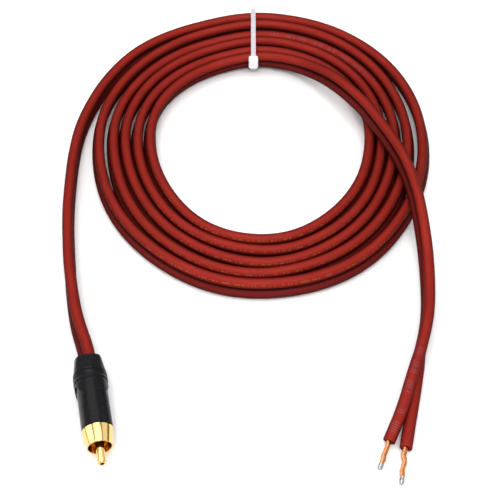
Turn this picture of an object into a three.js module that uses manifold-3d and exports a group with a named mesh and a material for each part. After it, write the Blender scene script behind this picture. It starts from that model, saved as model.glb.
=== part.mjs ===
// A twin-core cable with a phono plug soldered on one end and bare, tinned wires on the other.
// The plug lies on its side along Y, pin towards -Y. The rest of the cable lies on the same
// surface, z = 0: a straight-ish lead, a flat coil held by a cable tie, and a lead that climbs
// over the coil and splits into two legs. Units are millimetres, +Z is up.
import * as THREE from 'three';
import * as BufferGeometryUtils from 'three/addons/utils/BufferGeometryUtils.js';
import Module from 'manifold-3d';

const wasm = await Module();
wasm.setup();

// Fit
const GAP = 0.3;                    // clearance between pieces that touch on the real plug
const ROUND_SIDES = 48;

// Plug: stations are distances from the collar's mouth towards the cable
const MOUTH_Y = -16.1;
const AXIS_HEIGHT = 6.75;           // the plug lies on the barrel's widest ridge
const PIN_TIP = -7.0;
const PIN_REAR = 17.0;
const PIN_RADIUS = 1.6;
const PIN_BORE = 0.8;
const COLLAR_MOUTH_OUTER = 4.8;
const COLLAR_MOUTH_INNER = 4.4;
const COLLAR_BASE_RADIUS = 6.05;
const COLLAR_DEPTH = 6.3;
const COLLAR_LENGTH = 7.1;
const SHANK_RADIUS = 5.0;           // M10 x 1 thread, modelled plain
const SHANK_END = 13.5;
const INSULATOR_RADIUS = 3.3;
const BARREL_FRONT = COLLAR_LENGTH + GAP;
const BARREL_SHOULDER = 27.3;
const BARREL_REAR = 31.2;
const BARREL_BORE = SHANK_RADIUS + GAP;
const CHUCK_RADIUS = 5.7;
// Shallow bowed recesses on both sides of the barrel: grips for fingers or a spanner
const RECESS = { toAxis: 5.9, bow: 8.14, halfWidth: 4.9, archStart: 21.3, end: 26.6 };
const RECESS_TURN = THREE.MathUtils.degToRad(15);
const NUT_FRONT = BARREL_REAR + GAP;
const NUT_TAPER_START = 32.7;
const NUT_REAR = 39.2;
const NUT_SPIGOT_START = 30.3;
const NUT_FACET = { front: 6.35, rear: 5.4, bow: 9.5, count: 4 };
const NUT_TURN = THREE.MathUtils.degToRad(7.5);
const CABLE_START = 22.8;
const TAG_END = 20.5;

// Cable: two round cores side by side, standing on edge
const CORE_RADIUS = 2.4;
const CABLE_HEIGHT = 4 * CORE_RADIUS;
const CABLE_LEAN = THREE.MathUtils.degToRad(25);   // the twin leans over inside the plug
const LEAN_FADE = 0.16;             // part of the lead behind the plug that untwists it
const STRAND_RADIUS = 1.0;
const CABLE_HOLE = 5.0;

// Coil: five spiral turns in one layer, clockwise from the tie seen from above
const COIL_CENTRE = [97, 140.7, 0];
const COIL_TURN = THREE.MathUtils.degToRad(-12.56);
const COIL_RIGHT = { first: 78.4, pitch: 6.3 };
const COIL_FRONT = { first: 98, pitch: 6.25 };
const COIL_LEFT = { first: 78.2, pitch: 6.1 };
const TIE_PASSES = [89, 83, 73.5, 68.5, 60.6, 55.6];  // distance of each pass under the tie
const LAST_QUARTER_POWER = 1.9;                     // a little flatter than an ellipse
const ARC_STEPS = 14;

// Divisions of the cable sections' arcs
const TWIN_ARC = 2;
const ROUND_ARC = 4;

// Routes between the plug, the coil and the wire ends: centres of the cable or of one leg
const LEAD_TO_PLUG = [
  [0, 23.4, 6.75], [-0.05, 28.5, 6.7], [-0.9, 34, 6.4], [-2.0, 41, 6.0], [-2.6, 54.5, 5.1],
  [-2.3, 70.9, 4.85], [-1.2, 88.1, 4.85], [0.5, 106, 4.85], [3.5, 124.7, 4.85], [7.4, 144.1, 4.85],
  [14.1, 165.3, 4.85], [28.2, 190.9, 4.85], [47.1, 211.2, 4.85], [69.3, 222.4, 4.85],
  [94.1, 227.5, 5.3], [106.5, 227.2, 6.2], [115.7, 226.02, 6.2],
];
const LEAD_TO_SPLIT = [
  [109.66, 193.05, 6.2], [113.4, 191.7, 6.3], [117.6, 189.2, 6.5], [124.7, 184.0, 7.2],
  [130.2, 177.3, 8.6], [135.1, 168.6, 11.0], [138.6, 159.2, 13.4], [141.9, 149.9, 14.8],
  [145.0, 141.7, 14.9], [147.6, 133.7, 14.9], [149.4, 124.9, 14.9], [151.1, 116.3, 14.9],
  [152.5, 107, 14.9], [153.4, 97.9, 14.9], [153.4, 88, 14.9], [152.5, 76.7, 14.9],
  [151.9, 71.2, 14.5], [151.3, 65.9, 13.2], [149.8, 55.6, 10.4], [148.6, 47.8, 7.7],
  [146.7, 39.6, 5.8], [144.2, 30.8, 4.95], [141.5, 22.7, 4.85], [138.4, 14.9, 4.85],
  [135.0, 8.4, 4.85], [131.4, 2.1, 4.85], [130.0, -0.3, 4.85],
];
const LEG_MARKED = [
  [129.8, -0.7, 7.55], [127.9, -3.2, 7.3], [124.6, -7.6, 6.9], [121.0, -13.6, 6.6],
  [117.2, -20.2, 6.1], [112.9, -26.6, 4.9], [109.3, -31.6, 3.3], [107.2, -34.7, 2.6],
];
const LEG_PLAIN = [
  [130.0, -0.6, 2.45], [128.1, -5.2, 2.45], [125.0, -11.8, 2.45], [121.9, -18.2, 2.45],
  [118.2, -25.6, 2.45], [114.9, -32.2, 2.45], [111.7, -38.7, 2.45],
];
const STRANDS_MARKED = [
  [107.0, -35.0, 2.5], [105.8, -36.7, 2.1], [104.3, -38.9, 1.5], [102.4, -41.6, 1.15],
];
const STRANDS_PLAIN = [
  [111.55, -39.0, 2.4], [110.4, -41.5, 2.0], [108.8, -44.8, 1.4], [107.2, -48.6, 1.15],
];
const TIP_MARKED = [[102.23, -41.87, 1.1], [100.8, -44.1, 1.1]];
const TIP_PLAIN = [[107.08, -48.9, 1.1], [105.9, -51.8, 1.1]];
const CABLE_STEP = 8.5;
const LEG_STEP = 5.5;
const STRAND_STEP = 2;

// Cable tie
const TIE_AT = -3.3;
const TIE_WIDTH = 2.5;
const TIE_THICKNESS = 1.0;
const TIE_INNER = { near: 49.9, far: 90.2, top: 11.2 };
const TIE_HEAD = { width: 4.8, depth: 4.2, height: 5.8, base: 5.6 };
const TIE_PULL = { most: 2.0, at: -12, reach: 28 }; // the tie draws the passes in

const black = { color: 0x1a1a1c, roughness: 0.45, metalness: 0.6 };
const gold = { color: 0xe0b060, roughness: 0.15, metalness: 1.0 };
const jacket = { color: 0x9a2b26, roughness: 0.4, metalness: 0.0 };
const copper = { color: 0xd98a5a, roughness: 0.3, metalness: 1.0 };
const tin = { color: 0xc8c8cc, roughness: 0.25, metalness: 1.0 };
const nylon = { color: 0xf2f2f0, roughness: 0.35, metalness: 0.0 };
const liner = { color: 0x2a2a2a, roughness: 0.6, metalness: 0.0 };

const cable = new THREE.Group();
const plug = new THREE.Group();
plug.position.set(0, MOUTH_Y, AXIS_HEIGHT);
cable.add(plug);

function addPiece(parent, name, geometry, look) {
  const mesh = new THREE.Mesh(geometry, new THREE.MeshStandardMaterial(look));
  mesh.name = name;
  parent.add(mesh);
  return mesh;
}

// A closed body turned about Y. The loop runs up the outside and back down the inside.
function turned(loop, sides = ROUND_SIDES) {
  const points = loop.map(([radius, station]) => new THREE.Vector2(radius, station));
  points.push(points[0].clone());
  return new THREE.LatheGeometry(points, sides);
}

function toSolid(geometry) {
  const bare = geometry.clone();
  bare.deleteAttribute('normal');
  bare.deleteAttribute('uv');
  const welded = BufferGeometryUtils.mergeVertices(bare, 1e-4);
  const index = welded.getIndex().array;
  const triangles = [];
  for (let i = 0; i < index.length; i += 3) {
    const [a, b, c] = [index[i], index[i + 1], index[i + 2]];
    if (a !== b && b !== c && c !== a) triangles.push(a, b, c);
  }
  const vertProperties = new Float32Array(welded.getAttribute('position').array);
  const mesh = new wasm.Mesh({ numProp: 3, vertProperties, triVerts: new Uint32Array(triangles) });
  return new wasm.Manifold(mesh);
}

function toGeometry(solid) {
  const mesh = solid.getMesh();
  const geometry = new THREE.BufferGeometry();
  geometry.setAttribute('position', new THREE.BufferAttribute(mesh.vertProperties, 3));
  geometry.setIndex(new THREE.BufferAttribute(mesh.triVerts, 1));
  geometry.computeVertexNormals();
  return geometry;
}

// Outline of the twin: a slot shape, its long way on the shape's x axis.
function twinSection() {
  const section = new THREE.Shape();
  section.absarc(CORE_RADIUS, 0, CORE_RADIUS, -Math.PI / 2, Math.PI / 2, false);
  section.absarc(-CORE_RADIUS, 0, CORE_RADIUS, Math.PI / 2, 1.5 * Math.PI, false);
  return section;
}

function roundSection(radius) {
  const section = new THREE.Shape();
  section.absarc(0, 0, radius, 0, 2 * Math.PI, false);
  return section;
}

// A smooth route whose section keeps its x axis upright. It may start leaning to the right of the
// route by startLean, which fades away over the first part of its length.
class UprightRoute extends THREE.CatmullRomCurve3 {
  constructor(points, startLean = 0) {
    super(points.map((point) => new THREE.Vector3(...point)));
    this.startLean = startLean;
  }

  computeFrenetFrames(steps) {
    const up = new THREE.Vector3(0, 0, 1);
    const frames = { tangents: [], normals: [], binormals: [] };
    for (let step = 0; step <= steps; step += 1) {
      const tangent = this.getTangentAt(step / steps);
      const right = new THREE.Vector3().crossVectors(tangent, up).normalize();
      const upright = new THREE.Vector3().crossVectors(right, tangent);
      const fade = THREE.MathUtils.smoothstep(step / steps, 0, LEAN_FADE);
      const lean = this.startLean * (1 - fade);
      frames.tangents.push(tangent);
      frames.normals.push(upright.clone().applyAxisAngle(tangent, lean));
      frames.binormals.push(right.clone().applyAxisAngle(tangent, lean));
    }
    return frames;
  }
}

function tubeThrough(points, section, stepLength, curveSegments, startLean = 0) {
  const route = new UprightRoute(points, startLean);
  const steps = Math.max(1, Math.round(route.getLength() / stepLength));
  return new THREE.ExtrudeGeometry(section, { steps, curveSegments, extrudePath: route });
}

function ellipsoid(radii, centre) {
  const ball = new THREE.SphereGeometry(1, 16, 10);
  ball.scale(...radii);
  ball.translate(...centre);
  return ball;
}

// ---- Plug, from the pin inwards ----

function makeCollar() {
  return turned([
    [COLLAR_MOUTH_OUTER, 0],
    [COLLAR_BASE_RADIUS, COLLAR_LENGTH],
    [SHANK_RADIUS, COLLAR_LENGTH],
    [SHANK_RADIUS, SHANK_END],
    [INSULATOR_RADIUS + GAP, SHANK_END],
    [INSULATOR_RADIUS + GAP, COLLAR_DEPTH],
    [COLLAR_MOUTH_INNER - 0.2, COLLAR_DEPTH],
    [COLLAR_MOUTH_INNER, 0],
  ]);
}

function makePin() {
  return turned([
    [PIN_BORE, PIN_TIP],
    [PIN_BORE + 0.35, PIN_TIP],
    [PIN_RADIUS, PIN_TIP + 0.7],
    [PIN_RADIUS, PIN_REAR],
    [PIN_BORE, PIN_REAR],
  ], 32);
}

function makeInsulator() {
  const bore = PIN_RADIUS + GAP;
  const front = COLLAR_DEPTH + 0.4;
  const rear = SHANK_END - GAP;
  return turned([[INSULATOR_RADIUS, front], [INSULATOR_RADIUS, rear], [bore, rear], [bore, front]]);
}

function makeSleeve() {
  const front = SHANK_END + GAP;
  const rear = CABLE_START;
  const outer = BARREL_BORE - GAP;
  return turned([[outer, front], [outer, rear], [outer - GAP, rear], [outer - GAP, front]]);
}

function makeGroundSolder() {
  const [x, z] = coreOffset(-1, 2.5);
  return ellipsoid([0.7, 0.8, 0.7], [x, TAG_END - 1.1, z]);
}

// A washer behind the shank with a tongue running back under the lower core.
function makeGroundTag() {
  const front = SHANK_END + GAP;
  const thickness = 0.6;
  const washer = turned([[4.3, front], [4.3, front + thickness], [3.4, front + thickness], [3.4, front]], 32);
  const tongue = new THREE.BoxGeometry(3.0, TAG_END - front, thickness);
  tongue.translate(0, (TAG_END + front) / 2, -3.75);
  tongue.rotateY(CABLE_LEAN);
  return toGeometry(toSolid(washer).add(toSolid(tongue)));
}

function makeBarrel() {
  const shell = toSolid(turned([
    [6.0, BARREL_FRONT],
    [6.25, BARREL_FRONT + 0.3],
    [6.4, 16],
    [6.55, 27.2],
    [6.45, 27.5],
    [6.45, 27.8],
    [AXIS_HEIGHT, 28.2],
    [AXIS_HEIGHT, 29.3],
    [6.45, 29.7],
    [6.45, 30.2],
    [6.7, 30.5],
    [6.7, BARREL_REAR],
    [CHUCK_RADIUS + GAP, BARREL_REAR],
    [CHUCK_RADIUS + GAP, BARREL_SHOULDER],
    [BARREL_BORE, BARREL_SHOULDER],
    [BARREL_BORE, BARREL_FRONT],
  ]));
  // the recesses run out at the front edge and end in an arch at the rear
  const { toAxis, bow, halfWidth, archStart, end } = RECESS;
  const outline = new THREE.Shape();
  outline.moveTo(-halfWidth, BARREL_FRONT - 1);
  outline.lineTo(halfWidth, BARREL_FRONT - 1);
  outline.lineTo(halfWidth, archStart);
  outline.quadraticCurveTo(halfWidth, end - 0.6, 0, end);
  outline.quadraticCurveTo(-halfWidth, end - 0.6, -halfWidth, archStart);
  const slab = new THREE.ExtrudeGeometry(outline, { depth: 6, bevelEnabled: false, curveSegments: 5 });
  slab.translate(0, 0, 3);
  const floor = new THREE.CylinderGeometry(bow, bow, 40, 72);
  floor.translate(0, BARREL_FRONT + 10, toAxis - bow);
  const cutter = toSolid(slab).subtract(toSolid(floor));
  let cut = shell;
  for (const side of [0, 180]) {
    cut = cut.subtract(cutter.rotate([0, 90 + THREE.MathUtils.radToDeg(RECESS_TURN) + side, 0]));
  }
  return toGeometry(cut);
}

// A split ring that grips the cable; one slot goes right through, three stop short.
function makeChuck() {
  const front = BARREL_SHOULDER + GAP;
  const rear = NUT_SPIGOT_START - GAP;
  let ring = toSolid(turned([
    [CHUCK_RADIUS, front],
    [CHUCK_RADIUS, rear],
    [CABLE_HOLE, rear],
    [CABLE_HOLE, front],
  ]));
  for (let slot = 0; slot < 4; slot += 1) {
    const length = slot === 0 ? 10 : 3;
    const cutter = new THREE.BoxGeometry(3, length, 1.0);
    cutter.translate(CHUCK_RADIUS, rear, 0);
    cutter.rotateY(slot * Math.PI / 2 + Math.PI / 4);
    ring = ring.subtract(toSolid(cutter));
  }
  return toGeometry(ring);
}

// Distance from the axis to the nut's bowed facets in one direction round the axis.
function facetRadius(angle, middle) {
  const facetAngle = 2 * Math.PI / NUT_FACET.count;
  const fromTop = angle - NUT_TURN;
  const fromMiddle = fromTop - Math.round(fromTop / facetAngle) * facetAngle;
  const offset = middle - NUT_FACET.bow;
  const across = offset * Math.sin(fromMiddle);
  return offset * Math.cos(fromMiddle) + Math.sqrt(NUT_FACET.bow ** 2 - across ** 2);
}

// Round collar with a spigot that pushes the chuck, and a four-sided taper behind it.
function makeNut() {
  const nut = turned([
    [CHUCK_RADIUS, NUT_SPIGOT_START],
    [CHUCK_RADIUS, NUT_FRONT],
    [6.5, NUT_FRONT],
    [6.6, NUT_TAPER_START],
    [6.5, NUT_TAPER_START + 1.4],
    [6.4, NUT_TAPER_START + 2.8],
    [6.35, NUT_TAPER_START + 4.2],
    [6.2, NUT_REAR - 0.7],
    [5.8, NUT_REAR],
    [CABLE_HOLE, NUT_REAR],
    [CABLE_HOLE, NUT_SPIGOT_START],
  ]);
  const corners = nut.getAttribute('position');
  for (let i = 0; i < corners.count; i += 1) {
    const [x, y, z] = [corners.getX(i), corners.getY(i), corners.getZ(i)];
    const radius = Math.hypot(x, z);
    const isOutside = y > NUT_TAPER_START && radius > CABLE_HOLE + GAP;
    if (isOutside) {
      const part = (y - NUT_TAPER_START) / (NUT_REAR - NUT_TAPER_START);
      const middle = THREE.MathUtils.lerp(NUT_FACET.front, NUT_FACET.rear, part);
      const shrink = Math.min(1, facetRadius(Math.atan2(x, z), middle) / radius);
      corners.setXYZ(i, x * shrink, y, z * shrink);
    }
  }
  nut.computeVertexNormals();
  return nut;
}

// Along the lean of the twin: +1 is the upper core's centre, -1 the lower core's.
function coreOffset(side, distance = CORE_RADIUS) {
  return [side * distance * Math.sin(CABLE_LEAN), side * distance * Math.cos(CABLE_LEAN)];
}

function straightWire(side, distance, radius, from, to) {
  const wire = new THREE.CylinderGeometry(radius, radius, to - from, 12);
  const [x, z] = coreOffset(side, distance);
  wire.translate(x, (from + to) / 2, z);
  return wire;
}

function makeCableEnd() {
  const depth = NUT_REAR - CABLE_START;
  const end = new THREE.ExtrudeGeometry(twinSection(), { depth, bevelEnabled: false, curveSegments: TWIN_ARC });
  end.rotateX(-Math.PI / 2);
  end.rotateY(-Math.PI / 2 + CABLE_LEAN);
  end.translate(0, CABLE_START, 0);
  return end;
}

// The upper core's bare strands bend in from the core to the pin on the axis.
function makeSignalStrands() {
  const [x, z] = coreOffset(1);
  const start = PIN_REAR + 2.6;
  const end = CABLE_START - GAP;
  const bend = (start + end) / 2;
  const points = [[0, start, 0], [0, start + 0.5, 0], [x / 2, bend, z / 2], [x, end - 0.5, z], [x, end, z]];
  return tubeThrough(points, roundSection(0.8), 0.6, ROUND_ARC);
}

addPiece(plug, 'ground_collar', makeCollar(), gold);
addPiece(plug, 'centre_pin', makePin(), gold);
addPiece(plug, 'pin_insulator', makeInsulator(), liner);
addPiece(plug, 'ground_tag', makeGroundTag(), gold);
addPiece(plug, 'insulating_sleeve', makeSleeve(), liner);
addPiece(plug, 'barrel', makeBarrel(), black);
addPiece(plug, 'cable_chuck', makeChuck(), liner);
addPiece(plug, 'gland_nut', makeNut(), black);
addPiece(plug, 'signal_solder', ellipsoid([1.3, 0.9, 1.3], [0, PIN_REAR + 1.2, 0]), tin);
addPiece(plug, 'ground_solder', makeGroundSolder(), tin);
addPiece(plug, 'signal_strands_in_plug', makeSignalStrands(), copper);
addPiece(plug, 'ground_strands_in_plug', straightWire(-1, CORE_RADIUS, 0.7, TAG_END, CABLE_START - GAP), copper);
addPiece(plug, 'cable_end_in_plug', makeCableEnd(), jacket);

// ---- Coil, in a frame of its own: the tie is on +Y, the turns run clockwise ----

const coil = new THREE.Group();
coil.position.set(...COIL_CENTRE);
coil.rotation.z = COIL_TURN;
cable.add(coil);

// One turn of the spiral, moved outwards by the offset, from the tie round to the tie.
function turnOutline(turn, offset) {
  const start = TIE_PASSES[turn] + offset;
  const end = TIE_PASSES[turn + 1] + offset;
  const right = COIL_RIGHT.first - COIL_RIGHT.pitch * turn + offset;
  const front = COIL_FRONT.first - COIL_FRONT.pitch * turn + offset;
  const left = COIL_LEFT.first - COIL_LEFT.pitch * turn + offset;
  const bend = 2 / LAST_QUARTER_POWER;
  const quarters = [
    (sin, cos) => [right * sin, start * cos],
    (sin, cos) => [right * cos, -front * sin],
    (sin, cos) => [-left * sin, -front * cos],
    (sin, cos) => [-left * cos ** bend, end * sin ** bend],
  ];
  const points = [];
  for (const quarter of quarters) {
    for (let step = 0; step < ARC_STEPS; step += 1) {
      const angle = step / ARC_STEPS * Math.PI / 2;
      points.push(new THREE.Vector2(...quarter(Math.sin(angle), Math.cos(angle))));
    }
  }
  points.push(new THREE.Vector2(0, end));
  for (const point of points) {
    const isFarHalf = point.y > 0;
    if (isFarHalf) point.y -= TIE_PULL.most * Math.exp(-(((point.x - TIE_PULL.at) / TIE_PULL.reach) ** 2));
  }
  return points;
}

// All five turns as one flat spiral band, with a step at the tie where the cable comes in on the
// outside and another where it leaves on the inside. A groove below takes the tie's strap.
function makeCoil() {
  const lastTurn = TIE_PASSES.length - 2;
  const outline = new THREE.Shape(turnOutline(0, CORE_RADIUS).reverse());
  outline.holes.push(new THREE.Path(turnOutline(lastTurn, -CORE_RADIUS)));
  const band = new THREE.ExtrudeGeometry(outline, { depth: CABLE_HEIGHT, bevelEnabled: false });
  const groove = new THREE.BoxGeometry(TIE_WIDTH + 2 * GAP, 60, 2 * (TIE_THICKNESS + GAP));
  groove.translate(TIE_AT, (TIE_INNER.near + TIE_INNER.far) / 2, 0);
  return toGeometry(toSolid(band).subtract(toSolid(groove)));
}

function roundedBox(path, left, bottom, right, top, corner) {
  path.moveTo(left + corner, bottom);
  path.lineTo(right - corner, bottom);
  path.quadraticCurveTo(right, bottom, right, bottom + corner);
  path.lineTo(right, top - corner);
  path.quadraticCurveTo(right, top, right - corner, top);
  path.lineTo(left + corner, top);
  path.quadraticCurveTo(left, top, left, top - corner);
  path.lineTo(left, bottom + corner);
  path.quadraticCurveTo(left, bottom, left + corner, bottom);
  return path;
}

// Strap round the whole bundle, with its square head on the coil's inner edge.
function makeTie() {
  const { near, far, top } = TIE_INNER;
  const outside = [near - TIE_THICKNESS, 0, far + TIE_THICKNESS, top + TIE_THICKNESS];
  const strap = roundedBox(new THREE.Shape(), ...outside, 2.0);
  strap.holes.push(roundedBox(new THREE.Path(), near, TIE_THICKNESS, far, top, 1.2));
  const loop = new THREE.ExtrudeGeometry(strap, { depth: TIE_WIDTH, bevelEnabled: false, curveSegments: 4 });
  loop.rotateX(Math.PI / 2);
  loop.rotateZ(Math.PI / 2);
  loop.translate(TIE_AT - TIE_WIDTH / 2, 0, 0);
  const head = new THREE.BoxGeometry(TIE_HEAD.width, TIE_HEAD.depth, TIE_HEAD.height);
  const headCentre = near - TIE_THICKNESS / 3 - TIE_HEAD.depth / 2;
  head.translate(TIE_AT, headCentre, TIE_HEAD.base + TIE_HEAD.height / 2);
  return toGeometry(toSolid(loop).add(toSolid(head)));
}

addPiece(coil, 'cable_coil', makeCoil(), jacket);
addPiece(coil, 'cable_tie', makeTie(), nylon);

// ---- Leads, legs and bare wire ends ----

function addTube(name, points, section, stepLength, arc, look) {
  addPiece(cable, name, tubeThrough(points, section, stepLength, arc), look);
}

const leadToPlug = tubeThrough(LEAD_TO_PLUG, twinSection(), CABLE_STEP, TWIN_ARC, CABLE_LEAN);
addPiece(cable, 'lead_to_plug', leadToPlug, jacket);
addTube('lead_to_split', LEAD_TO_SPLIT, twinSection(), CABLE_STEP, TWIN_ARC, jacket);
addTube('split_leg_marked', LEG_MARKED, roundSection(CORE_RADIUS), LEG_STEP, ROUND_ARC, jacket);
addTube('split_leg_plain', LEG_PLAIN, roundSection(CORE_RADIUS), LEG_STEP, ROUND_ARC, jacket);
addTube('strands_marked', STRANDS_MARKED, roundSection(STRAND_RADIUS), STRAND_STEP, ROUND_ARC, copper);
addTube('strands_plain', STRANDS_PLAIN, roundSection(STRAND_RADIUS), STRAND_STEP, ROUND_ARC, copper);
addTube('tinned_tip_marked', TIP_MARKED, roundSection(STRAND_RADIUS), 5, ROUND_ARC, tin);
addTube('tinned_tip_plain', TIP_PLAIN, roundSection(STRAND_RADIUS), 5, ROUND_ARC, tin);

export default cable;
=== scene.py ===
import math

import bmesh
import bpy
import numpy as np
from mathutils import Matrix, Vector


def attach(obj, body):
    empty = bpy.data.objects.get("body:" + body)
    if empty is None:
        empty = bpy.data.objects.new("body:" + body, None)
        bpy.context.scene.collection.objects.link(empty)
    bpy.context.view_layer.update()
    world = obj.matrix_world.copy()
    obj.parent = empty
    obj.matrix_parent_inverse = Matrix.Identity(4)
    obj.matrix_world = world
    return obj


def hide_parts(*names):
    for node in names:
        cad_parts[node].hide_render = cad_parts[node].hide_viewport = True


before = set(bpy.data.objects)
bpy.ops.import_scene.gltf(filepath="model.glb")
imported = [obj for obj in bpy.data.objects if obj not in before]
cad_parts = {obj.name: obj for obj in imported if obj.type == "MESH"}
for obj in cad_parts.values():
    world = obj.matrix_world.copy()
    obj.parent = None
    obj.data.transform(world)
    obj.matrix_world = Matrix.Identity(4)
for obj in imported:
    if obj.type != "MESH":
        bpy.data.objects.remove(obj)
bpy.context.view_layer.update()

MM = 0.001
ROOT = "plug_and_cable"

# ---- Camera ----
# A long lens from above the plug's side, looking down at the coil at about 49 degrees.
camera_data = bpy.data.cameras.new("camera")
camera_data.lens = 72
camera_data.sensor_width = 36
camera_data.clip_start = 0.01
camera = bpy.data.objects.new("camera", camera_data)
camera.location = (0.0138, -0.2096, 0.3349)
aim = Vector((0.0764, 0.0715, 0.0)) - camera.location
camera.rotation_euler = aim.to_track_quat("-Z", "Y").to_euler()
bpy.context.scene.collection.objects.link(camera)
bpy.context.scene.camera = camera


# ---- Twin cable ----
# Two red-insulated cores side by side in one smoke-tinted, softly shining vinyl jacket, extruded
# as a figure eight. It leaves the plug leaning, stands on edge in five turns of a flat coil,
# rises over the turns and comes down to where its two cores are pulled apart.
CORE_RADIUS = 2.4 * MM
CORE_OFFSET = 2.35 * MM
VALLEY_ANGLE = math.radians(157)
ARC_STEPS = 18
RING_SPACING = 2.4 * MM

LEAD_TO_PLUG = [
    (0, 6.7, 6.75), (0, 15, 6.75), (0, 23.4, 6.75), (-0.05, 28.5, 6.7), (-0.9, 34, 6.4),
    (-2.0, 41, 6.0), (-2.6, 54.5, 5.1), (-2.3, 70.9, 4.85), (-1.2, 88.1, 4.85), (0.5, 106, 4.85),
    (3.5, 124.7, 4.85), (7.4, 144.1, 4.85), (14.1, 165.3, 4.85), (28.2, 190.9, 4.85),
    (47.1, 211.2, 4.85), (69.3, 222.4, 4.85), (94.1, 227.5, 5.0), (106.5, 227.2, 5.8),
]
LEAD_TO_SPLIT = [
    (113.4, 191.7, 6.3), (117.6, 189.2, 6.5), (124.7, 184.0, 7.2),
    (130.2, 177.3, 8.6), (135.1, 168.6, 11.0), (138.6, 159.2, 13.4), (141.9, 149.9, 14.8),
    (145.0, 141.7, 14.9), (147.6, 133.7, 14.9), (149.4, 124.9, 14.9), (151.1, 116.3, 14.9),
    (152.5, 107, 14.9), (153.4, 97.9, 14.9), (153.4, 88, 14.9), (152.5, 76.7, 14.9),
    (151.9, 71.2, 14.5), (151.3, 65.9, 13.2), (149.8, 55.6, 10.4), (148.6, 47.8, 7.7),
    (146.7, 39.6, 5.8), (144.2, 30.8, 4.95), (141.5, 22.7, 4.85), (138.4, 14.9, 4.85),
    (135.0, 8.4, 4.85), (131.4, 2.1, 4.85), (130.0, -0.3, 4.85),
]
COIL_CENTRE = (97.0, 140.7)
COIL_TURN = math.radians(-12.56)
TIE_PASSES = (89, 83, 73.5, 68.5, 60.6, 55.6)
COIL_LEAN = 18.0
STANDING_HEIGHT = 4.68
TIE_AT = -3.3
TIE_LIFT = 1.3
TIE_LIFT_REACH = 16.0


def evenly(line, spacing):
    """The same line with its points a fixed distance apart."""
    line = np.asarray(line, float)
    run = np.concatenate([[0], np.cumsum(np.linalg.norm(np.diff(line, axis=0), axis=1))])
    at = np.linspace(0, run[-1], max(2, round(run[-1] / spacing)) + 1)
    return np.column_stack([np.interp(at, run, line[:, k]) for k in range(line.shape[1])])


def smooth_through(points):
    """A dense smooth curve through given points."""
    p = np.array(points, float)
    p = np.vstack([2 * p[0] - p[1], p, 2 * p[-1] - p[-2]])
    t = np.linspace(0, 1, 12, endpoint=False)[:, None]
    pieces = []
    for a, b, c, d in zip(p, p[1:], p[2:], p[3:]):
        curve = 2 * b + (c - a) * t + (2 * a - 5 * b + 4 * c - d) * t**2
        pieces.append(0.5 * (curve + (3 * b - a - 3 * c + d) * t**3))
    pieces.append(p[-2:-1])
    return np.vstack(pieces)


def coil_turn(turn):
    """One clockwise turn from the tie round to the tie, in the coil's own axes."""
    right = 78.4 - 5.9 * turn - 1.6 * min(turn, 1)
    front = 98 - 6.25 * turn
    left = 78.2 - 5.9 * turn - 0.8 * min(turn, 1)
    start, end = TIE_PASSES[turn], TIE_PASSES[turn + 1]
    bend = 2 / 1.9
    points = []
    for step in range(160):
        quarter, part = divmod(step, 40)
        sin, cos = math.sin(part / 40 * math.pi / 2), math.cos(part / 40 * math.pi / 2)
        x, y = (
            (right * sin, start * cos),
            (right * cos, -front * sin),
            (-left * sin, -front * cos),
            (-left * cos**bend, end * sin**bend),
        )[quarter]
        # nothing wound by hand is quite even
        sway = 1 + 0.004 * math.sin(step * 0.13 + 2.1 * turn) + 0.003 * math.sin(step * 0.31 + turn)
        edge = math.sin(step / 160 * math.pi) ** 2
        # the tie draws the passes in
        y -= 2.0 * math.exp(-(((x + 12) / 28) ** 2)) if y > 0 else 0
        points.append((x * (1 + (sway - 1) * edge), y * (1 + (sway - 1) * edge)))
    return points


def coil_to_world(x, y):
    turn = Matrix.Rotation(COIL_TURN, 2)
    return turn @ Vector((x, y)) + Vector(COIL_CENTRE)


def spiral_route():
    points = []
    for turn in range(len(TIE_PASSES) - 1):
        for x, y in coil_turn(turn):
            lift = TIE_LIFT * math.exp(-(((x - TIE_AT) / TIE_LIFT_REACH) ** 2)) if y > 0 else 0
            points.append((*coil_to_world(x, y), STANDING_HEIGHT + lift))
    points.append((*coil_to_world(0, TIE_PASSES[-1] - 1.66), STANDING_HEIGHT + TIE_LIFT))
    return points


lead_in = smooth_through(LEAD_TO_PLUG)
spiral = np.array(spiral_route())
lead_out = smooth_through(LEAD_TO_SPLIT)
cable_route = evenly(np.vstack([lead_in, spiral, lead_out]) * MM, RING_SPACING)
for _ in range(8):
    cable_route[1:-1] = (cable_route[:-2] + 2 * cable_route[1:-1] + cable_route[2:]) / 4
cable_route = evenly(cable_route, RING_SPACING)
along = np.concatenate([[0], np.cumsum(np.linalg.norm(np.diff(cable_route, axis=0), axis=1))])
cable_length = along[-1]
lead_in_length = np.linalg.norm(np.diff(lead_in, axis=0), axis=1).sum() * MM
lead_out_length = np.linalg.norm(np.diff(lead_out, axis=0), axis=1).sum() * MM
coil_end = cable_length - lead_out_length
cable_lean = np.radians(
    np.interp(
        along,
        [0, 0.022, 0.07, lead_in_length - 0.05, lead_in_length + 0.02, coil_end - 0.01,
         coil_end + 0.045, cable_length - 0.05, cable_length],
        [25, 25, 0, 0, COIL_LEAN, COIL_LEAN, -13, -13, 0],
    )
)


def upright_frames(route, lean):
    """For each point: the direction along the route, the section's long axis and its short axis."""
    frames = []
    tangents = np.gradient(route, axis=0)
    for tangent, angle in zip(tangents, lean):
        ahead = Vector(tangent).normalized()
        right = ahead.cross(Vector((0, 0, 1))).normalized()
        tall = right.cross(ahead)
        turn = Matrix.Rotation(angle, 3, ahead)
        frames.append((ahead, turn @ tall, turn @ right))
    return frames


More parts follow.
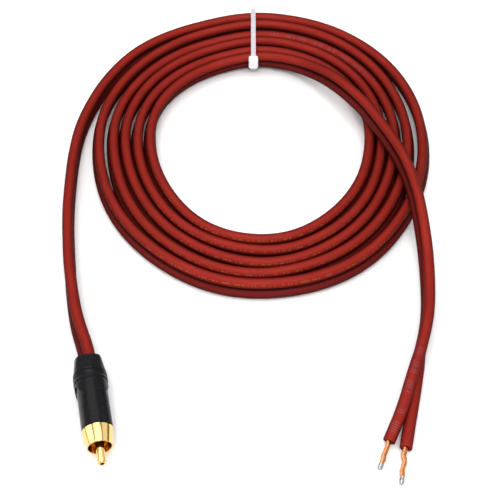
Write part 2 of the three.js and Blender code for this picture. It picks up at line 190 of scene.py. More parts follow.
def twin_section():
    """The figure eight as points (across, side): long way and short way."""
    points = []
    for core in (1, -1):
        for step in range(ARC_STEPS + 1):
            angle = -VALLEY_ANGLE + 2 * VALLEY_ANGLE * step / ARC_STEPS
            points.append((
                core * (CORE_OFFSET + CORE_RADIUS * math.cos(angle)),
                core * CORE_RADIUS * math.sin(angle),
            ))
    return points


def sweep(name, section, route, frames, caps=True, scale=None):
    """A tube made by extruding one ring of the section from point to point of the route."""
    bm = bmesh.new()
    across = bm.verts.layers.float.new("across")
    side = bm.verts.layers.float.new("side")
    run = bm.verts.layers.float.new("along")
    ring = [bm.verts.new((a, s, 0)) for a, s in section]
    for vert, (a, s) in zip(ring, section):
        vert[across] = a
        vert[side] = s
    edges = [bm.edges.new((a, b)) for a, b in zip(ring, ring[1:] + ring[:1])]
    first_edges = list(edges)
    distance = 0.0
    for step, (centre, (_, tall, wide)) in enumerate(zip(route, frames)):
        if step:
            distance += (Vector(centre) - Vector(route[step - 1])).length
            made = bmesh.ops.extrude_edge_only(bm, edges=edges)["geom"]
            ring = [g for g in made if isinstance(g, bmesh.types.BMVert)]
            edges = [g for g in made if isinstance(g, bmesh.types.BMEdge)]
        size = scale[step] if scale is not None else 1.0
        for vert in ring:
            vert.co = Vector(centre) + (tall * vert[across] + wide * vert[side]) * size
            vert[run] = distance
    if caps:
        bmesh.ops.holes_fill(bm, edges=first_edges)
        bmesh.ops.holes_fill(bm, edges=edges)
    bmesh.ops.recalc_face_normals(bm, faces=bm.faces)
    return finish_mesh(name, bm)


def finish_mesh(name, bm, smooth=True):
    mesh = bpy.data.meshes.new(name)
    bm.to_mesh(mesh)
    bm.free()
    if smooth:
        mesh.shade_smooth()
        mesh.set_sharp_from_angle(angle=math.radians(50))
    obj = bpy.data.objects.new(name, mesh)
    bpy.context.scene.collection.objects.link(obj)
    return obj


cable_frames = upright_frames(cable_route, cable_lean)
red_cable = sweep("red_cable", twin_section(), cable_route, cable_frames)


def new_material(name):
    """An empty material with its node tree, its Principled shader and a small maker of nodes."""
    material = bpy.data.materials.new(name)
    material.use_nodes = True
    tree = material.node_tree
    shader = tree.nodes["Principled BSDF"]

    def node(kind, **settings):
        made = tree.nodes.new(kind)
        for key, value in settings.items():
            if key in made.inputs:
                made.inputs[key].default_value = value
            else:
                setattr(made, key, value)
        return made

    return material, tree, shader, node


def sums(tree, node, operation, a, b=None, c=None):
    """A Math node on sockets or numbers."""
    made = node("ShaderNodeMath", operation=operation)
    for slot, value in enumerate((a, b, c)):
        if value is None:
            continue
        if isinstance(value, (int, float)):
            made.inputs[slot].default_value = value
        else:
            tree.links.new(value, made.inputs[slot])
    return made.outputs[0]


def read_attribute(node, name):
    return node("ShaderNodeAttribute", attribute_name=name).outputs["Fac"]


def band(tree, node, value, low, high, soft):
    """1 where the value lies between low and high, with soft edges."""
    up = node("ShaderNodeMapRange", interpolation_type="SMOOTHSTEP")
    down = node("ShaderNodeMapRange", interpolation_type="SMOOTHSTEP")
    for ramp, start, end in ((up, low - soft, low + soft), (down, high + soft, high - soft)):
        tree.links.new(value, ramp.inputs["Value"])
        ramp.inputs["From Min"].default_value = start
        ramp.inputs["From Max"].default_value = end
    return sums(tree, node, "MULTIPLY", up.outputs[0], down.outputs[0])


def tick_pattern(tree, node, run, pitch, fill, seed):
    """Short upright ticks in groups of seven places, as a line of small generic marks."""
    place = sums(tree, node, "MULTIPLY", run, 1 / pitch)
    stroke = sums(tree, node, "LESS_THAN", sums(tree, node, "FRACT", place), 0.48)
    chance = node("ShaderNodeTexWhiteNoise", noise_dimensions="1D")
    cell = sums(tree, node, "ADD", sums(tree, node, "FLOOR", place), seed)
    tree.links.new(cell, chance.inputs["W"])
    present = sums(tree, node, "LESS_THAN", chance.outputs["Value"], fill)
    group = sums(tree, node, "FRACT", sums(tree, node, "MULTIPLY", place, 1 / 9))
    grouped = sums(tree, node, "LESS_THAN", group, 0.78)
    return sums(tree, node, "MULTIPLY", sums(tree, node, "MULTIPLY", stroke, present), grouped)


def mix_colour(tree, node, factor, a, b):
    made = node("ShaderNodeMix", data_type="RGBA")
    tree.links.new(factor, made.inputs["Factor"])
    for socket, value in ((made.inputs["A"], a), (made.inputs["B"], b)):
        if isinstance(value, tuple):
            socket.default_value = (*value, 1)
        else:
            tree.links.new(value, socket)
    return made.outputs["Result"]


JACKET_RED = (0.74, 0.066, 0.042)
JACKET_DEEP = (0.60, 0.050, 0.034)
# painted shade for the twin's lower core, darker than the red the core really has
PAINTED_SHADE_LOWER_CORE = (0.36, 0.034, 0.028)
# painted shadow: a near-black line along the crease between the two cores
PAINTED_VALLEY_SHADOW = (0.09, 0.010, 0.009)
VALLEY_WIDTH = 0.6 * MM
SMOKE = (0.42, 0.36, 0.36)


def jacket_material(name, print_sides=(), stamps=(), paint_twin_shade=True):
    """Red insulation under a thin smoky skin; on the twin, painted shade darkens the lower core and a painted shadow
    darkens the valley between the cores.
    """
    material, tree, shader, node = new_material(name)
    run = read_attribute(node, "along")
    across = read_attribute(node, "across")
    side = read_attribute(node, "side")
    place = node("ShaderNodeCombineXYZ")
    tree.links.new(sums(tree, node, "MULTIPLY", run, 60), place.inputs["X"])
    tree.links.new(sums(tree, node, "MULTIPLY", across, 260), place.inputs["Y"])
    tree.links.new(sums(tree, node, "MULTIPLY", side, 260), place.inputs["Z"])
    cloud = node("ShaderNodeTexNoise", Scale=1.0, Detail=4.0, Roughness=0.55)
    tree.links.new(place.outputs[0], cloud.inputs["Vector"])
    tone = node("ShaderNodeMapRange")
    tree.links.new(cloud.outputs["Fac"], tone.inputs["Value"])
    tone.inputs["From Min"].default_value = 0.3
    tone.inputs["From Max"].default_value = 0.7
    colour = mix_colour(tree, node, tone.outputs[0], JACKET_DEEP, JACKET_RED)
    if paint_twin_shade:
        # painted shade: the twin's lower core is darkened as if shaded by the upper core
        lower = sums(tree, node, "LESS_THAN", across, 0.0)
        colour = mix_colour(tree, node, lower, colour, PAINTED_SHADE_LOWER_CORE)
        # painted shadow along the valley between the cores
        valley = band(tree, node, across, -VALLEY_WIDTH, VALLEY_WIDTH, VALLEY_WIDTH)
        colour = mix_colour(tree, node, valley, colour, PAINTED_VALLEY_SHADOW)
    for level, direction, low, high, ink, fill, pitch in print_sides:
        height = sums(tree, node, "SUBTRACT", across, level)
        facing = sums(tree, node, "MULTIPLY", side, direction)
        outside = sums(tree, node, "GREATER_THAN", facing, 0.0)
        past_plug = sums(tree, node, "GREATER_THAN", run, 0.085)
        line = sums(tree, node, "MULTIPLY", band(tree, node, height, low, high, 0.00005), outside)
        where = sums(tree, node, "MULTIPLY", line, past_plug)
        marks = sums(tree, node, "MULTIPLY", where, tick_pattern(tree, node, run, pitch, fill, 3.7))
        colour = mix_colour(tree, node, marks, colour, ink)
    for centre, width, start, stop, ink in stamps:
        offset = band(tree, node, side, centre - width, centre + width, 0.0001)
        upper = sums(tree, node, "GREATER_THAN", across, 0.0)
        reach = band(tree, node, run, start, stop, 0.0005)
        where = sums(tree, node, "MULTIPLY", sums(tree, node, "MULTIPLY", offset, upper), reach)
        marks = sums(tree, node, "MULTIPLY", where, tick_pattern(tree, node, run, 0.001, 0.75, 8.1))
        faint = sums(tree, node, "MULTIPLY", marks, 0.5)
        colour = mix_colour(tree, node, faint, colour, ink)
    tree.links.new(colour, shader.inputs["Base Color"])
    rough = node("ShaderNodeMapRange")
    tree.links.new(cloud.outputs["Fac"], rough.inputs["Value"])
    rough.inputs["To Min"].default_value = 0.30
    rough.inputs["To Max"].default_value = 0.42
    tree.links.new(rough.outputs[0], shader.inputs["Roughness"])
    grain = node("ShaderNodeTexNoise", Scale=900.0, Detail=2.0)
    tree.links.new(node("ShaderNodeTexCoord").outputs["Object"], grain.inputs["Vector"])
    bump = node("ShaderNodeBump", Strength=0.06, Distance=0.0002)
    tree.links.new(grain.outputs["Fac"], bump.inputs["Height"])
    tree.links.new(bump.outputs[0], shader.inputs["Normal"])
    # an even skin of clear smoky vinyl over the red
    shader.inputs["Coat Weight"].default_value = 1.0
    shader.inputs["Specular IOR Level"].default_value = 0.12
    shader.inputs["Coat IOR"].default_value = 1.04
    shader.inputs["Coat Roughness"].default_value = 0.34
    shader.inputs["Coat Tint"].default_value = (*SMOKE, 1)
    return material


PRINT_GOLD = (0.85, 0.42, 0.13)
STAMP_PALE = (0.50, 0.24, 0.28)
outer_print = (CORE_OFFSET, -1, 0.0001, 0.0006, PRINT_GOLD, 0.55, 0.0006)
third_turn = lead_in_length + 1.035
# the twin's vinyl carries painted shade on its lower core and a painted shadow in its valley
cable_vinyl = jacket_material(
    "smoky_red_vinyl_painted_shade", [outer_print], [(0.0006, 0.0010, third_turn, third_turn + 0.065, STAMP_PALE)]
)
red_cable.data.materials.append(cable_vinyl)
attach(red_cable, ROOT)
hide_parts("cable_end_in_plug", "lead_to_plug", "cable_coil", "lead_to_split")


# ---- Two legs ----
# The twin is slit down its web for 45 mm and each core keeps its own round insulation. The
# marked core lies on top and crosses over; both are cut square and stripped at their ends.
LEG_MARKED = [
    (130.75, 1.0, 7.2), (129.8, -0.7, 7.2), (127.9, -3.6, 7.2), (124.6, -8.6, 7.1),
    (120.9, -14.4, 6.7), (117.0, -20.6, 6.1), (112.5, -27.0, 4.9), (108.6, -31.9, 3.4),
    (106.4, -34.7, 2.6),
]
LEG_PLAIN = [
    (130.75, 1.0, 2.5), (130.0, -0.6, 2.45), (128.1, -5.2, 2.45), (125.0, -11.8, 2.45),
    (121.9, -18.2, 2.45), (118.2, -25.6, 2.45), (114.9, -32.2, 2.45), (111.7, -38.7, 2.45),
]
LEG_SPACING = 0.9 * MM


def circle(radius, steps):
    turns = [2 * math.pi * step / steps for step in range(steps)]
    return [(radius * math.cos(angle), radius * math.sin(angle)) for angle in turns]


def leg(name, points, material):
    route = evenly(smooth_through(points) * MM, LEG_SPACING)
    frames = upright_frames(route, np.zeros(len(route)))
    obj = sweep(name, circle(CORE_RADIUS, 32), route, frames, caps=False)
    length = float(np.linalg.norm(np.diff(route, axis=0), axis=1).sum())
    # round over the cut end and turn it in towards the wire
    bm = bmesh.new()
    bm.from_mesh(obj.data)
    rims = [e for e in bm.edges if e.is_boundary]
    run = bm.verts.layers.float["along"]
    end = [e for e in rims if e.verts[0][run] > length / 2]
    start = [e for e in rims if e.verts[0][run] <= length / 2]
    centre, (ahead, _, _) = Vector(route[-1]), frames[-1]
    for inset, onward in ((0.94, 0.16), (0.82, 0.26), (0.60, 0.28), (0.46, 0.18), (0.42, -0.6)):
        made = bmesh.ops.extrude_edge_only(bm, edges=end)["geom"]
        verts = [g for g in made if isinstance(g, bmesh.types.BMVert)]
        end = [g for g in made if isinstance(g, bmesh.types.BMEdge)]
        for vert in verts:
            out = vert.co - centre
            out -= ahead * out.dot(ahead)
            vert.co = centre + out.normalized() * CORE_RADIUS * inset + ahead * onward * MM
            vert[run] = length + 0.001
    bmesh.ops.holes_fill(bm, edges=end)
    bmesh.ops.holes_fill(bm, edges=start)
    bmesh.ops.recalc_face_normals(bm, faces=bm.faces)
    bm.to_mesh(obj.data)
    bm.free()
    obj.data.shade_smooth()
    obj.data.set_sharp_from_angle(angle=math.radians(60))
    obj.data.materials.append(material)
    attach(obj, ROOT)
    return obj, route, length


leg_stamps = [(0.0, 0.0014, 0.002, 0.024, STAMP_PALE), (0.0, 0.0014, 0.031, 0.041, STAMP_PALE)]
stamped_vinyl = jacket_material("stamped_red_vinyl", [], leg_stamps, paint_twin_shade=False)
plain_vinyl = jacket_material("plain_red_vinyl", paint_twin_shade=False)
leg_marked, marked_route, marked_length = leg("leg_marked", LEG_MARKED, stamped_vinyl)
leg_plain, plain_route, plain_length = leg("leg_plain", LEG_PLAIN, plain_vinyl)
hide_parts("split_leg_marked")
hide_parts("split_leg_plain")


# ---- Bare wire ends ----
# Fine copper strands twisted by hand, sticking out of each leg, with the last few millimetres
# dipped in solder so that they hold together in a terminal.
STRANDS_MARKED = [
    (107.1, -33.8, 2.6), (106.2, -35.0, 2.5), (105.1, -36.7, 2.1), (103.3, -38.9, 1.5),
    (102.2, -41.0, 1.2), (100.9, -42.7, 1.15),
]
STRANDS_PLAIN = [
    (112.2, -37.7, 2.45), (111.55, -39.0, 2.4), (110.0, -41.4, 2.0), (109.7, -43.8, 1.5),
    (107.9, -46.6, 1.2), (107.0, -49.3, 1.15),
]
TIP_MARKED = [(101.2, -42.2, 1.15), (100.6, -43.1, 1.1), (99.7, -44.5, 1.05)]
TIP_PLAIN = [(107.15, -48.9, 1.15), (106.6, -50.2, 1.1), (105.5, -52.1, 1.05)]
STRAND_COUNT = 7
STRAND_RADIUS = 0.29 * MM
BUNDLE_RADIUS = 0.66 * MM
TWIST_PITCH = 7.0 * MM


def twisted_strands(name, points, material, phase):
    """Round wires laid in a helix about the route, with one straight wire in the middle."""
    route = evenly(smooth_through(points) * MM, 0.35 * MM)
    frames = upright_frames(route, np.zeros(len(route)))
    run = np.concatenate([[0], np.cumsum(np.linalg.norm(np.diff(route, axis=0), axis=1))])
    wires = []
    for strand in range(STRAND_COUNT + 1):
        out = 0 if strand == STRAND_COUNT else BUNDLE_RADIUS * (1 + 0.07 * math.sin(2.3 * strand + phase))
        line = []
        for centre, (_, tall, wide), distance in zip(route, frames, run):
            turn = 2 * math.pi * (distance / TWIST_PITCH + strand / STRAND_COUNT) + phase
            wobble = 1 + 0.10 * math.sin(distance * 900 + strand * 1.7)
            line.append(Vector(centre) + (tall * math.cos(turn) + wide * math.sin(turn)) * out * wobble)
        line = np.array(line)
        radius = STRAND_RADIUS if strand < STRAND_COUNT else 0.5 * MM
        wire_frames = upright_frames(line, np.zeros(len(line)))
        wires.append(sweep(f"{name}_{strand}", circle(radius, 8), line, wire_frames))
    bm = bmesh.new()
    for wire in wires:
        bm.from_mesh(wire.data)
        bpy.data.objects.remove(wire)
    obj = finish_mesh(name, bm)
    obj.data.materials.append(material)
    return obj


def tinned_tip(name, points, material, phase):
    """A lumpy solder skin over the strands, ending in a blunt cut."""
    route = evenly(smooth_through(points) * MM, 0.14 * MM)
    count = len(route)
    grown = []
    for step in range(count):
        part = step / (count - 1)
        blob = 0.80 + 0.22 * math.sin(math.pi * min(1, part * 1.15)) + 0.05 * math.sin(9 * part + phase)
        grown.append(blob if part < 0.94 else blob * math.cos((part - 0.94) / 0.06 * 1.15))
    obj = sweep(name, circle(1.0 * MM, 28), route, upright_frames(route, np.zeros(count)), scale=grown)
    obj.data.materials.append(material)
    return obj


def bright_metal(name, colour, roughness, grain_scale, grain_strength, shade=0.75):
    """Bare metal with a slightly uneven polish."""
    material, tree, shader, node = new_material(name)
    spots = node("ShaderNodeTexNoise", Scale=grain_scale, Detail=3.0)
    tree.links.new(node("ShaderNodeTexCoord").outputs["Object"], spots.inputs["Vector"])
    darker = tuple(shade * channel for channel in colour)
    tree.links.new(mix_colour(tree, node, spots.outputs["Fac"], darker, colour), shader.inputs["Base Color"])
    rough = node("ShaderNodeMapRange")
    tree.links.new(spots.outputs["Fac"], rough.inputs["Value"])
    rough.inputs["To Min"].default_value = roughness * 0.7
    rough.inputs["To Max"].default_value = roughness * 1.4
    tree.links.new(rough.outputs[0], shader.inputs["Roughness"])
    bump = node("ShaderNodeBump", Strength=grain_strength, Distance=0.0002)
    tree.links.new(spots.outputs["Fac"], bump.inputs["Height"])
    tree.links.new(bump.outputs[0], shader.inputs["Normal"])
    shader.inputs["Metallic"].default_value = 1.0
    return material


copper = bright_metal("bare_copper", (0.86, 0.38, 0.17), 0.22, 1400.0, 0.15, shade=0.6)
solder = bright_metal("solder", (0.66, 0.66, 0.64), 0.14, 900.0, 1.0, shade=0.35)
strands_marked = twisted_strands("copper_strands_marked", STRANDS_MARKED, copper, 0.4)
strands_plain = twisted_strands("copper_strands_plain", STRANDS_PLAIN, copper, 1.9)
tip_marked = tinned_tip("solder_tip_marked", TIP_MARKED, solder, 0.3)
tip_plain = tinned_tip("solder_tip_plain", TIP_PLAIN, solder, 2.2)
for piece, node_name, slot in (
    (strands_marked, "strands_marked", "copper"),
    (strands_plain, "strands_plain", "copper"),
    (tip_marked, "tinned_tip_marked", "solder"),
    (tip_plain, "tinned_tip_plain", "solder"),
):
    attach(piece, ROOT)
    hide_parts(node_name)


# ---- Cable tie ----
# One white nylon strap round all the passes of the coil, pulled through its square head on
# the coil's inner edge and cut off flush.
TIE_WIDTH = 2.5
TIE_THICKNESS = 0.9
TIE_NEAR, TIE_FAR, TIE_TOP = 50.2, 90.5, 11.9
HEAD_SIZE = (4.8, 4.2, 5.8)
HEAD_BASE = 5.6


def nylon_material(name, low, high):
    """Moulded nylon, faintly cloudy, with a little light passing through it."""
    material, tree, shader, node = new_material(name)
    cloud = node("ShaderNodeTexNoise", Scale=300.0, Detail=3.0)
    tree.links.new(node("ShaderNodeTexCoord").outputs["Object"], cloud.inputs["Vector"])
    tree.links.new(mix_colour(tree, node, cloud.outputs["Fac"], low, high), shader.inputs["Base Color"])
    shader.inputs["Roughness"].default_value = 0.32
    shader.inputs["Subsurface Weight"].default_value = 0.25
    shader.inputs["Subsurface Radius"].default_value = (0.002, 0.002, 0.002)
    return material


strap_nylon = nylon_material("strap_nylon", (0.50, 0.46, 0.50), (0.58, 0.54, 0.58))
head_nylon = nylon_material("head_nylon", (0.80, 0.80, 0.79), (0.90, 0.90, 0.90))


def place_in_coil(bm):
    """From the coil's axes, in millimetres, to the shared frame."""
    scale = Matrix.Scale(MM, 4)
    turn = Matrix.Translation((*COIL_CENTRE, 0)) @ Matrix.Rotation(COIL_TURN, 4, "Z")
    bmesh.ops.transform(bm, matrix=scale @ turn, verts=bm.verts)


def tie_strap():
    """A flat band swept round a rounded rectangle that hugs the bundle."""
    half = TIE_THICKNESS / 2
    near, far, top, bottom = TIE_NEAR - half, TIE_FAR + half, TIE_TOP - half, half
    corner = 2.2
    bm = bmesh.new()
    loop = []
    for y, z, start in (
        (far - corner, top - corner, 0), (near + corner, top - corner, 90),
        (near + corner, bottom + corner, 180), (far - corner, bottom + corner, 270),
    ):
        for step in range(9):
            angle = math.radians(start + 90 * step / 8)
            across, up = corner * math.cos(angle), corner * math.sin(angle)
            loop.append(bm.verts.new((TIE_AT - TIE_WIDTH / 2, y + across, z + up)))
    edges = [bm.edges.new(pair) for pair in zip(loop, loop[1:] + loop[:1])]
    made = bmesh.ops.extrude_edge_only(bm, edges=edges)["geom"]
    bmesh.ops.translate(
        bm, vec=(TIE_WIDTH, 0, 0), verts=[g for g in made if isinstance(g, bmesh.types.BMVert)]
    )
    bmesh.ops.recalc_face_normals(bm, faces=bm.faces)
    bmesh.ops.solidify(bm, geom=bm.faces[:], thickness=TIE_THICKNESS)
    return bm


strap_bm = tie_strap()
place_in_coil(strap_bm)
tie_strap_obj = finish_mesh("cable_tie_strap", strap_bm, smooth=False)

head_bm = bmesh.new()
bmesh.ops.create_cube(head_bm, size=1)
bmesh.ops.scale(head_bm, vec=HEAD_SIZE, verts=head_bm.verts)
head_y = TIE_NEAR - TIE_THICKNESS / 3 - HEAD_SIZE[1] / 2
bmesh.ops.translate(head_bm, vec=(TIE_AT, head_y, HEAD_BASE + HEAD_SIZE[2] / 2), verts=head_bm.verts)
bmesh.ops.bevel(
    head_bm, geom=head_bm.edges[:], offset=0.9, segments=4, profile=0.5, affect="EDGES", material=-1
)
place_in_coil(head_bm)
tie_head = finish_mesh("cable_tie_head", head_bm)

for piece, material in ((tie_strap_obj, strap_nylon), (tie_head, head_nylon)):
    piece.data.materials.append(material)
    soften = piece.modifiers.new("soft_edges", "BEVEL")
    soften.width = 0.15 * MM
    soften.segments = 2
    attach(piece, ROOT)
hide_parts("cable_tie")


# ---- Plug: collar and pin ----
# The collar is turned brass, tapered outside and plated in gold, with a thin mouth that grips the
# socket. The pin is a drawn tube, open at its tip, held on the axis by a black insulator.
PLUG_MOUTH = -16.1
PLUG_AXIS = 6.75
SPIN_STEPS = 128


def spun(name, profile, steps=SPIN_STEPS):
    """A closed ring of material turned about the plug's axis; profile is (radius, station) in mm."""
    bm = bmesh.new()
    verts = [bm.verts.new((radius, station, 0)) for radius, station in profile]
    edges = [bm.edges.new(pair) for pair in zip(verts, verts[1:] + verts[:1])]
    bmesh.ops.spin(
        bm, geom=verts + edges, cent=(0, 0, 0), axis=(0, 1, 0), angle=2 * math.pi, steps=steps,
        use_merge=True,
    )
    bmesh.ops.remove_doubles(bm, verts=bm.verts, dist=1e-5)
    bmesh.ops.recalc_face_normals(bm, faces=bm.faces)
    return bm


def place_in_plug(bm):
    matrix = Matrix.Scale(MM, 4) @ Matrix.Translation((0, PLUG_MOUTH, PLUG_AXIS))
    bmesh.ops.transform(bm, matrix=matrix, verts=bm.verts)


collar_bm = spun("collar", [
    (4.46, 0.04), (4.52, 0.0), (4.72, 0.0), (4.80, 0.08), (5.98, 6.86), (6.05, 7.0), (5.98, 7.1),
    (5.0, 7.1), (5.0, 13.5), (3.6, 13.5), (3.6, 6.3), (4.2, 6.3), (4.3, 6.0), (4.40, 0.12),
])
place_in_plug(collar_bm)
gold_collar = finish_mesh("gold_collar", collar_bm)

pin_bm = spun("pin", [
    (0.8, -6.9), (0.88, -7.0), (1.05, -7.0), (1.3, -6.9), (1.5, -6.65), (1.6, -6.3), (1.6, 17.0),
    (0.8, 17.0),
], steps=64)
place_in_plug(pin_bm)
gold_pin = finish_mesh("gold_pin", pin_bm)

gold = bright_metal("gold_plate", (0.94, 0.64, 0.24), 0.12, 500.0, 0.02, shade=0.92)
for piece, node_name in ((gold_collar, "ground_collar"), (gold_pin, "centre_pin")):
    piece.data.materials.append(gold)
    edge = piece.modifiers.new("edge_split", "EDGE_SPLIT")
    edge.split_angle = math.radians(35)
    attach(piece, ROOT)
    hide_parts(node_name)


# ---- Plug: barrel and gland nut ----
# Both are turned aluminium with a satin black finish. The barrel has raised rings behind two
# shallow grip recesses; the nut tapers back to the cable in four bowed facets.
RECESS_TO_AXIS = 5.9
RECESS_BOW = 8.14
RECESS_TURN = math.radians(15)
NUT_TURN = math.radians(7.5)
NUT_BOW = 9.5
TAPER_START = 32.7
TAPER_END = 39.2


def cut_with(bm, cutters, operation, name):
    """Joins a boolean cut into the mesh, in millimetres about the plug's axis."""
    work = finish_mesh(name, bm, smooth=False)
    for number, cutter_bm in enumerate(cutters):
        cutter = finish_mesh(f"{name}_cutter_{number}", cutter_bm, smooth=False)
        cut = work.modifiers.new("cut", "BOOLEAN")
        cut.operation = operation
        cut.object = cutter
        cut.solver = "EXACT"
        mesh = bpy.data.meshes.new_from_object(work.evaluated_get(bpy.context.evaluated_depsgraph_get()))
        work.modifiers.clear()
        work.data = mesh
        bpy.data.objects.remove(cutter)
    result = bmesh.new()
    result.from_mesh(work.data)
    bpy.data.objects.remove(work)
    return result


def turn_about_x(bm):
    turn = Matrix.Rotation(-math.pi / 2, 3, "X")
    bmesh.ops.rotate(bm, cent=(0, 0, 0), matrix=turn, verts=bm.verts)


def recess_cutter(side):
    """A slab with an arched rear end, hollowed underneath so that it leaves a gently bowed floor."""
    half, front, arch_start, end = 4.9, 6.0, 21.3, 26.6
    outline = [(-half, front), (half, front)]
    for step in range(25):
        part = step / 12 - 1
        outline.append((-half * part, arch_start + (end - arch_start) * (1 - abs(part) ** 1.7)))
    slab = bmesh.new()
    face = slab.faces.new([slab.verts.new((x, y, 3)) for x, y in outline])
    made = bmesh.ops.extrude_face_region(slab, geom=[face])["geom"]
    bmesh.ops.translate(slab, vec=(0, 0, 6), verts=[g for g in made if isinstance(g, bmesh.types.BMVert)])
    bmesh.ops.recalc_face_normals(slab, faces=slab.faces)
    floor = bmesh.new()
    bmesh.ops.create_cone(
        floor, cap_ends=True, segments=256, radius1=RECESS_BOW, radius2=RECESS_BOW, depth=40,
    )
    turn_about_x(floor)
    bmesh.ops.translate(floor, vec=(0, 16, RECESS_TO_AXIS - RECESS_BOW), verts=floor.verts)
    bm = cut_with(slab, [floor], "DIFFERENCE", "recess_work")
    turn = Matrix.Rotation(math.pi / 2 + RECESS_TURN + side, 3, "Y")
    bmesh.ops.rotate(bm, cent=(0, 0, 0), matrix=turn, verts=bm.verts)
    return bm


def facet_radius(angle, middle):
    """Distance from the axis to the nut's bowed facets in one direction round the axis."""
    from_top = angle - NUT_TURN
    from_middle = from_top - round(from_top / (math.pi / 2)) * math.pi / 2
    offset = middle - NUT_BOW
    across = offset * math.sin(from_middle)
    return offset * math.cos(from_middle) + math.sqrt(NUT_BOW**2 - across**2)


def rounded_ring(low, high, base, crest):
    """Profile points over one raised ring."""
    points = []
    for step in range(9):
        part = step / 8
        points.append((base + (crest - base) * math.sin(math.pi * part) ** 0.6, low + (high - low) * part))
    return points


barrel_profile = [(6.0, 7.4), (6.12, 7.45), (6.22, 7.6), (6.25, 7.75), (6.4, 16), (6.55, 27.0)]
barrel_profile += [(6.53, 27.25), (6.45, 27.45)]
barrel_profile += rounded_ring(27.8, 29.5, 6.40, 6.75)
barrel_profile += [(6.45, 29.9), (6.55, 30.05), (6.68, 30.3), (6.7, 30.6), (6.7, 31.05), (6.6, 31.2)]
barrel_profile += [(6.0, 31.2), (6.0, 27.3), (5.3, 27.3), (5.3, 7.4)]
barrel_bm = cut_with(
    spun("barrel", barrel_profile, 160), [recess_cutter(0), recess_cutter(math.pi)], "DIFFERENCE",
    "barrel_work",
)
place_in_plug(barrel_bm)
black_barrel = finish_mesh("black_barrel", barrel_bm)

nut_profile = [(5.7, 30.3), (5.7, 31.5), (6.4, 31.5), (6.52, 31.62), (6.6, 31.9), (6.62, 32.3)]
nut_profile += [(6.62 - 0.37 * (step / 20) ** 0.8, TAPER_START + 0.29 * step) for step in range(21)]
nut_profile += [(6.1, 38.8), (5.9, 39.05), (5.6, 39.2), (5.0, 39.2), (5.0, 30.3)]
nut_bm = spun("nut", nut_profile, 192)
for vert in nut_bm.verts:
    x, y, z = vert.co
    radius = math.hypot(x, z)
    if y > TAPER_START and radius > 5.2:
        middle = 6.35 - 0.95 * (y - TAPER_START) / (TAPER_END - TAPER_START)
        shrink = min(1, facet_radius(math.atan2(x, z), middle) / radius)
        vert.co = (x * shrink, y, z * shrink)
place_in_plug(nut_bm)
black_nut = finish_mesh("black_gland_nut", nut_bm)

black_finish, black_tree, black_shader, black_node = new_material("satin_black")
black_coord = black_node("ShaderNodeTexCoord").outputs["Object"]
black_cloud = black_node("ShaderNodeTexNoise", Scale=700.0, Detail=4.0)
black_tree.links.new(black_coord, black_cloud.inputs["Vector"])
black_tree.links.new(
    mix_colour(black_tree, black_node, black_cloud.outputs["Fac"], (0.004, 0.004, 0.005), (0.009, 0.009, 0.010)),
    black_shader.inputs["Base Color"],
)
black_rough = black_node("ShaderNodeMapRange")
black_tree.links.new(black_cloud.outputs["Fac"], black_rough.inputs["Value"])
black_rough.inputs["To Min"].default_value = 0.22
black_rough.inputs["To Max"].default_value = 0.32
black_shader.inputs["Specular IOR Level"].default_value = 0.12
black_tree.links.new(black_rough.outputs[0], black_shader.inputs["Roughness"])
black_bump = black_node("ShaderNodeBump", Strength=0.02, Distance=0.0001)
black_tree.links.new(black_cloud.outputs["Fac"], black_bump.inputs["Height"])
black_tree.links.new(black_bump.outputs[0], black_shader.inputs["Normal"])
for piece, node_name, body in (
    (black_barrel, "barrel", "barrel_body"),
    (black_nut, "gland_nut", "nut_body"),
):
    piece.data.materials.append(black_finish)
    soften = piece.modifiers.new("soft_edges", "BEVEL")
    soften.width = 0.10 * MM
    soften.segments = 2
    soften.limit_method = "ANGLE"
    soften.angle_limit = math.radians(20)
    soften.harden_normals = True
    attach(piece, body)
    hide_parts(node_name)


# ---- Plug: inside ----
# Hidden by the barrel: the moulded insulator and its sleeve, the split chuck that grips the cable,
# the solder tag, and the two soldered joints with their strands.
moulded, moulded_tree, moulded_shader, moulded_node = new_material("black_moulding")
moulded_cloud = moulded_node("ShaderNodeTexNoise", Scale=900.0, Detail=3.0)
moulded_tree.links.new(moulded_node("ShaderNodeTexCoord").outputs["Object"], moulded_cloud.inputs["Vector"])
moulded_tree.links.new(
    mix_colour(moulded_tree, moulded_node, moulded_cloud.outputs["Fac"], (0.012, 0.011, 0.010), (0.030, 0.028, 0.026)),
    moulded_shader.inputs["Base Color"],
)
moulded_shader.inputs["Roughness"].default_value = 0.55
for node_name, material in (
    ("pin_insulator", moulded),
    ("insulating_sleeve", moulded),
    ("cable_chuck", moulded),
    ("ground_tag", gold),
    ("signal_solder", solder),
    ("ground_solder", solder),
    ("signal_strands_in_plug", copper),
    ("ground_strands_in_plug", copper),
):
    mesh = bpy.data.objects[node_name].data
    mesh.materials.clear()
    mesh.materials.append(material)


# ---- Table and light ----
# A white sweep of table under a broad soft light from above, with paler light from the sides.
table_bm = bmesh.new()
bmesh.ops.create_grid(table_bm, x_segments=1, y_segments=1, size=8.0)
bmesh.ops.translate(table_bm, vec=(0.08, 0.1, -0.00005), verts=table_bm.verts)
table = finish_mesh("table", table_bm, smooth=False)
white, white_tree, white_shader, white_node = new_material("white_table")
white_shader.inputs["Base Color"].default_value = (0.93, 0.92, 0.92, 1)
white_shader.inputs["Roughness"].default_value = 0.75
white_shader.inputs["Specular IOR Level"].default_value = 0.2
table.data.materials.append(white)


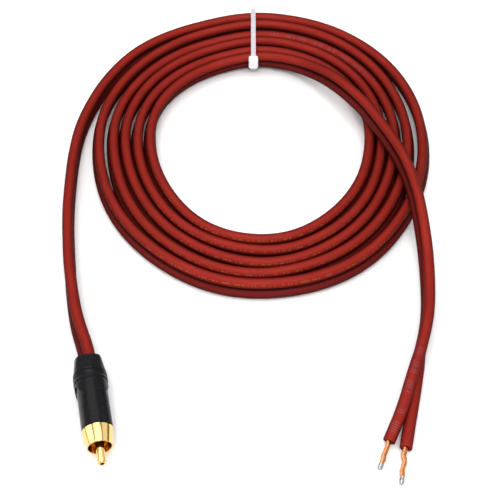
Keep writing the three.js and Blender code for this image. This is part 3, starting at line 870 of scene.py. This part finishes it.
def softbox(name, location, target, size, power, frame_width=0.08):
    """An area light with the black cloth frame of a real softbox round it."""
    light = bpy.data.lights.new(name, "AREA")
    light.shape = "RECTANGLE"
    light.size, light.size_y = size
    light.energy = power
    obj = bpy.data.objects.new(name, light)
    obj.location = location
    obj.rotation_euler = (Vector(target) - Vector(location)).to_track_quat("-Z", "Y").to_euler()
    bpy.context.scene.collection.objects.link(obj)
    bm = bmesh.new()
    bmesh.ops.create_grid(bm, x_segments=1, y_segments=1, size=0.5)
    wide = (size[0] + 2 * frame_width, size[1] + 2 * frame_width, 1)
    bmesh.ops.scale(bm, vec=wide, verts=bm.verts)
    bmesh.ops.translate(bm, vec=(0, 0, 0.02), verts=bm.verts)
    turn = obj.rotation_euler.to_matrix().to_4x4()
    bmesh.ops.transform(bm, matrix=Matrix.Translation(location) @ turn, verts=bm.verts)
    cloth = finish_mesh(f"{name}_frame", bm, smooth=False)
    cloth.data.materials.append(black_cloth)
    return obj


black_cloth, cloth_tree, cloth_shader, cloth_node = new_material("black_cloth")
cloth_shader.inputs["Base Color"].default_value = (0.02, 0.02, 0.02, 1)
cloth_shader.inputs["Roughness"].default_value = 0.9
middle = (0.08, 0.09, 0.0)
softbox("overhead", (-0.02, 0.42, 1.15), middle, (1.15, 1.3), 11.0)
softbox("front_top", (0.05, -0.55, 1.15), middle, (0.9, 0.7), 10.0)
softbox("left_window", (-1.1, 0.0, 0.7), middle, (0.8, 1.2), 7.0)
softbox("right_fill", (1.2, 0.15, 0.8), middle, (1.3, 1.0), 4.0)
world = bpy.data.worlds.new("studio")
world.use_nodes = True
sky = world.node_tree
sky_height = sky.nodes.new("ShaderNodeSeparateXYZ")
sky.links.new(sky.nodes.new("ShaderNodeTexCoord").outputs["Generated"], sky_height.inputs[0])
sky_rise = sky.nodes.new("ShaderNodeMapRange")
sky_rise.interpolation_type = "SMOOTHSTEP"
sky.links.new(sky_height.outputs["Z"], sky_rise.inputs["Value"])
sky_rise.inputs["From Min"].default_value = 0.02
sky_rise.inputs["From Max"].default_value = 0.30
sky_rise.inputs["To Min"].default_value = 0.12
sky_rise.inputs["To Max"].default_value = 0.62
sky.links.new(sky_rise.outputs[0], sky.nodes["Background"].inputs["Strength"])
sky.nodes["Background"].inputs["Color"].default_value = (1, 1, 1, 1)
bpy.context.scene.world = world
bpy.context.scene.view_settings.view_transform = "Standard"
